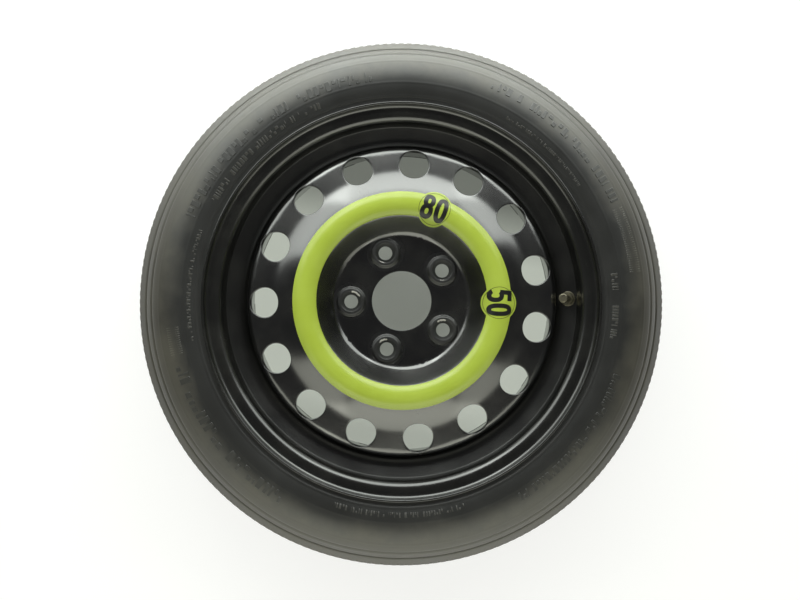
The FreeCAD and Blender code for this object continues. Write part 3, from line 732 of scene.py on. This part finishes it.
def make_marks(name, rows, ribs, material, seed):
    """Plain raised bars and fine radial ribs moulded on the sidewall: patches of the wall lifted along Z,
    with sloped edges and a back just inside the wall."""
    outer, _ = tyre_lines()
    wall = outer[outer[:, 0] <= SPLIT_R][::-1]
    skin = Skin()
    chance = np.random.RandomState(seed)

    def bar(r0, r1, t0, t1, lift):
        """A patch from r0 to r1 and t0 to t1: its border lies inside the wall, and the rest is lifted over it."""
        slope = min(BAR_SLOPE, SLOPE_SHARE * (t1 - t0) * r0)
        d = slope / r0
        r = np.array([r0, r0 + slope, r1 - slope, r1])
        t = np.concatenate([[t0], np.linspace(t0 + d, t1 - d, 4), [t1]])
        foot = np.full((4, 6), -SUNK) + np.interp(r, wall[:, 0], wall[:, 1])[:, None] + MIDDLE
        face = foot.copy()
        face[1:-1, 1:-1] += lift + SUNK
        x, y = r[:, None] * np.cos(t), r[:, None] * np.sin(t)
        skin.grid(np.stack([x, y, face], -1))
        skin.grid(np.stack([x, y, foot], -1), flip=True)

    for start, stop, r0, r1, length, lift in rows:
        t = math.radians(start)
        while t < math.radians(stop):
            size = length * chance.uniform(*BAR_SIZES) / r0
            if chance.uniform() > LEFT_OUT:
                cut = (r1 - r0) * chance.choice(BAR_CUTS)
                low = chance.uniform() > 0.5
                bar(r0 + cut * low, r1 - cut * (not low), t, t + size, lift)
            t += size + length * chance.uniform(*BAR_GAPS) / r0
    for start, stop, r0, r1 in ribs:
        for deg in np.arange(start, stop, RIB_STEP):
            bar(r0, r1, math.radians(deg), math.radians(deg + RIB_WIDTH), RIB_HEIGHT)
    place(skin.mesh(name, sharp=40), material)


def make_tread():
    """Tread and shoulders: the tyre's outer line less groove depth by z, shoulder slots and rib sipes by angle,
    closed by a plain back inside the rubber."""
    outer, _ = tyre_lines()
    near = np.abs(outer[:, :1] - [m[0] for m in TYRE_MARKS]).min(1) < KEEP_NEAR
    step = np.isclose(outer[:, 1:], TREAD_STEPS).any(1)
    split = np.argmax(outer[:, 0] <= SPLIT_R)
    keep = near | step | (np.arange(len(outer)) % KEEP_EACH == 0)
    keep[split] = True
    half = outer[:split + 1][keep[:split + 1]]
    line = np.concatenate([(half * [1, -1])[::-1][:-1], half])
    k = np.arange(SLOTS * SLOT_STEPS)
    phase = k % SLOT_STEPS
    height = np.abs(line[:, 1])
    depth = np.zeros((len(line), len(k)))
    for c in GROOVES:
        depth[np.abs(height - c) < GROOVE_HALF - 0.2] = GROOVE_DEPTH
    slot = (height > SLOT_FROM) & (line[:, 0] > SLOT_R)
    depth = np.where(slot[:, None] & (phase < 2), SLOT_DEPTH, depth)
    sipe = (height > RIB_SIPE[0]) & (height < RIB_SIPE[1])
    depth = np.where(sipe[:, None] & (phase == 3), SIPE_DEPTH, depth)
    depth = np.where((height < MIDDLE_SIPE)[:, None] & (phase == 5), SIPE_DEPTH, depth)
    t = TURN * k / len(k)
    inward = left_normals(line)
    r = line[:, :1] + inward[:, :1] * depth
    h = line[:, 1:] + inward[:, 1:] * depth + MIDDLE
    back = np.broadcast_to(TREAD_BACK[:, None], (len(TREAD_BACK), len(k), 2))
    r, h = np.concatenate([r, back[..., 0]]), np.concatenate([h, back[..., 1] + MIDDLE])
    skin = Skin()
    skin.grid(np.stack([r * np.cos(t), r * np.sin(t), h], -1), loop_rows=True, loop_cols=True, flip=True)
    place(skin.mesh("tyre_tread", sharp=35, weld=False), rubber)


make_rim()
make_disc()
make_film()
make_print()
make_tyre_sides()
make_marks("large_sidewall_marks", LARGE_MARKS, (), clean_rubber, 5)
make_marks("small_sidewall_marks", SMALL_MARKS, RIB_ROWS, dusted, 8)
make_tread()


# Floor, lights and camera

# Half the floor's side in metres, and the way over it towards the upper vents, where the painted shade is darker
FLOOR_HALF, FLOOR_UP = 6.0, (0.174, 0.985)
DAYLIGHT, YELLOWED = "#f7fcf6", "#fbfded"
# Lights: name, bearing in degrees, distance, height, width and depth in metres, watts, height aimed at, colour
LIGHTS = (
    ("window_top", 90.0, 1.25, 0.64, 1.5, 1.02, 22.5, 0.0, DAYLIGHT),
    ("window_top_left", 135.0, 1.30, 0.66, 1.0, 1.04, 9.6, 0.0, DAYLIGHT),
    ("window_top_right", 46.0, 1.35, 0.68, 0.75, 1.06, 7.8, 0.0, DAYLIGHT),
    ("window_bottom", 270.0, 1.25, 0.72, 1.5, 1.16, 10.2, 0.0, YELLOWED),
    ("window_bottom_left", 224.0, 1.35, 0.68, 0.8, 1.06, 3.6, 0.0, YELLOWED),
    ("window_bottom_right", 314.0, 1.35, 0.68, 0.7, 1.06, 2.8, 0.0, YELLOWED),
    ("low_top", 90.0, 0.80, -0.03, 1.8, 0.10, 6.8, -0.03, DAYLIGHT),
    ("low_bottom", 270.0, 0.80, -0.03, 1.6, 0.10, 1.0, -0.03, YELLOWED))
# Camera: distance from the rim's middle plane in mm, lens in pixels of a picture's width, degrees, aim in mm
CAMERA_FAR, SENSOR, FOCAL_PX, PICTURE_PX = 900.0, 36.0, 766.5, 800.0
LEAN_X, LEAN_Y, ROLL, AIM_X, AIM_Y = -0.55, -2.05, -0.8, -1.87, 0.95


def make_floor():
    """Pale floor under the wheel: white beyond the wheel where it is looked at, mirrored or seen through, and inside
    the wheel a grey painted glow for the light that comes in through the holes, lighter towards the vents, with
    painted shade at the bore and under the upper and lowest vents."""
    material, tree, spot = blank("pale_floor")
    side, ahead = add(tree, "SeparateXYZ", spot, out="X"), add(tree, "SeparateXYZ", spot, out="Y")
    side = add(tree, "Math", side, FLOOR_UP[0], operation="MULTIPLY")
    ahead = add(tree, "Math", ahead, FLOOR_UP[1], operation="MULTIPLY")
    up = add(tree, "Math", ahead, side, operation="ADD")
    far = add(tree, "VectorMath", spot, out="Value", operation="LENGTH")
    # Painted light: inside the wheel the floor glows grey for all rays, standing in for light through the vents, with
    # painted shade at the bore and under the upper and lowest vents
    inside = add(tree, "Math", add(tree, "MapRange", far, 0.11, 0.18, 0.17, 0.48),
                 add(tree, "MapRange", up, 0.07, 0.142, 1.0, 0.33), operation="MULTIPLY")
    inside = add(tree, "Math", inside, add(tree, "MapRange", up, -0.16, -0.11, 0.76, 1.0), operation="MULTIPLY")
    beyond = add(tree, "MapRange", far, 0.26, 0.31, 0.0, 1.0)
    seen = add(tree, "Math", add(tree, "LightPath", out="Is Camera Ray"),
               add(tree, "LightPath", out="Is Glossy Ray"), operation="MAXIMUM")
    seen = add(tree, "Math", seen, add(tree, "LightPath", out="Is Transmission Ray"), operation="MAXIMUM")
    white = add(tree, "Math", seen, 0.70, operation="MULTIPLY")
    ground = add(tree, "TexNoise", sockets={"Vector": spot, "Scale": grain(400.0), "Detail": 2.0, "Roughness": 0.55})
    add(tree, "OutputMaterial", add(tree, "BsdfPrincipled", sockets={
        "Roughness": 0.9,
        "Base Color": add(tree, "Mix", ground, out=2, data_type="RGBA",
                          sockets={6: linear("#989896"), 7: linear("#a0a09e")}),
        "Emission Color": add(tree, "Mix", beyond, out=2, data_type="RGBA",
                              sockets={6: linear("#f3fbec"), 7: linear("#ffffff")}),
        "Emission Strength": add(tree, "Mix", beyond, data_type="FLOAT", sockets={2: inside, 3: white})}))
    mesh = bpy.data.meshes.new("floor")
    z = (MIDDLE - HALF_SECTION) * MM
    corners = [(FLOOR_HALF * x, FLOOR_HALF * y, z) for x, y in ((-1, -1), (1, -1), (1, 1), (-1, 1))]
    mesh.from_pydata(corners, [], [(0, 1, 2, 3)])
    obj = bpy.data.objects.new("floor", mesh)
    bpy.context.scene.collection.objects.link(obj)
    mesh.materials.append(material)


def add_light(name, bearing, distance, height, width, depth, power, aim, colour):
    """Area light at a bearing (degrees from +X about the axis), aimed at a height over the hub."""
    a = math.radians(bearing)
    where = Vector((distance * math.cos(a), distance * math.sin(a), height))
    data = bpy.data.lights.new(name, "AREA")
    data.shape, data.size, data.size_y, data.energy = "RECTANGLE", width, depth, power
    data.color = linear(colour)[:3]
    obj = bpy.data.objects.new(name, data)
    obj.location = where
    obj.rotation_euler = (Vector((0, 0, aim)) - where).to_track_quat("-Z", "Y").to_euler()
    obj.visible_camera = False
    bpy.context.scene.collection.objects.link(obj)


def make_world():
    """White behind the part where the camera sees it, and a dim room to everything else."""
    world = bpy.data.worlds.new("studio")
    world.use_nodes = True
    tree = world.node_tree
    tree.nodes.clear()
    room = add(tree, "MapRange", add(tree, "LightPath", out="Is Camera Ray"), 0.0, 1.0, 0.065, 1.0)
    add(tree, "OutputWorld", add(tree, "Background", linear("#ffffff"), room))
    bpy.context.scene.world = world


def make_camera():
    """Camera over the face, leaning a little to -Y and -X and slightly rolled, aimed beside the hub's centre."""
    data = bpy.data.cameras.new("camera")
    data.sensor_width, data.lens = SENSOR, SENSOR * FOCAL_PX / PICTURE_PX
    data.clip_start = 0.01
    obj = bpy.data.objects.new("camera", data)
    lean_x, lean_y, roll = (math.radians(v) for v in (LEAN_X, LEAN_Y, ROLL))
    over = Vector((math.sin(lean_x), math.sin(lean_y), math.cos(lean_y))) * CAMERA_FAR
    eye = (over + Vector((0, 0, MIDDLE))) * MM
    aim = Vector((AIM_X, AIM_Y, DISC_GAUGE)) * MM
    back = (eye - aim).normalized()
    right = Vector((math.cos(roll), math.sin(roll), 0.0))
    right = (right - back * right.dot(back)).normalized()
    up = back.cross(right)
    obj.matrix_world = Matrix(((right.x, up.x, back.x, eye.x), (right.y, up.y, back.y, eye.y),
                               (right.z, up.z, back.z, eye.z), (0, 0, 0, 1)))
    bpy.context.scene.collection.objects.link(obj)
    bpy.context.scene.camera = obj


make_floor()
make_world()
for row in LIGHTS:
    add_light(*row)
make_camera()

view = bpy.context.scene.view_settings
view.view_transform = "Standard"

bpy.context.view_layer.update()
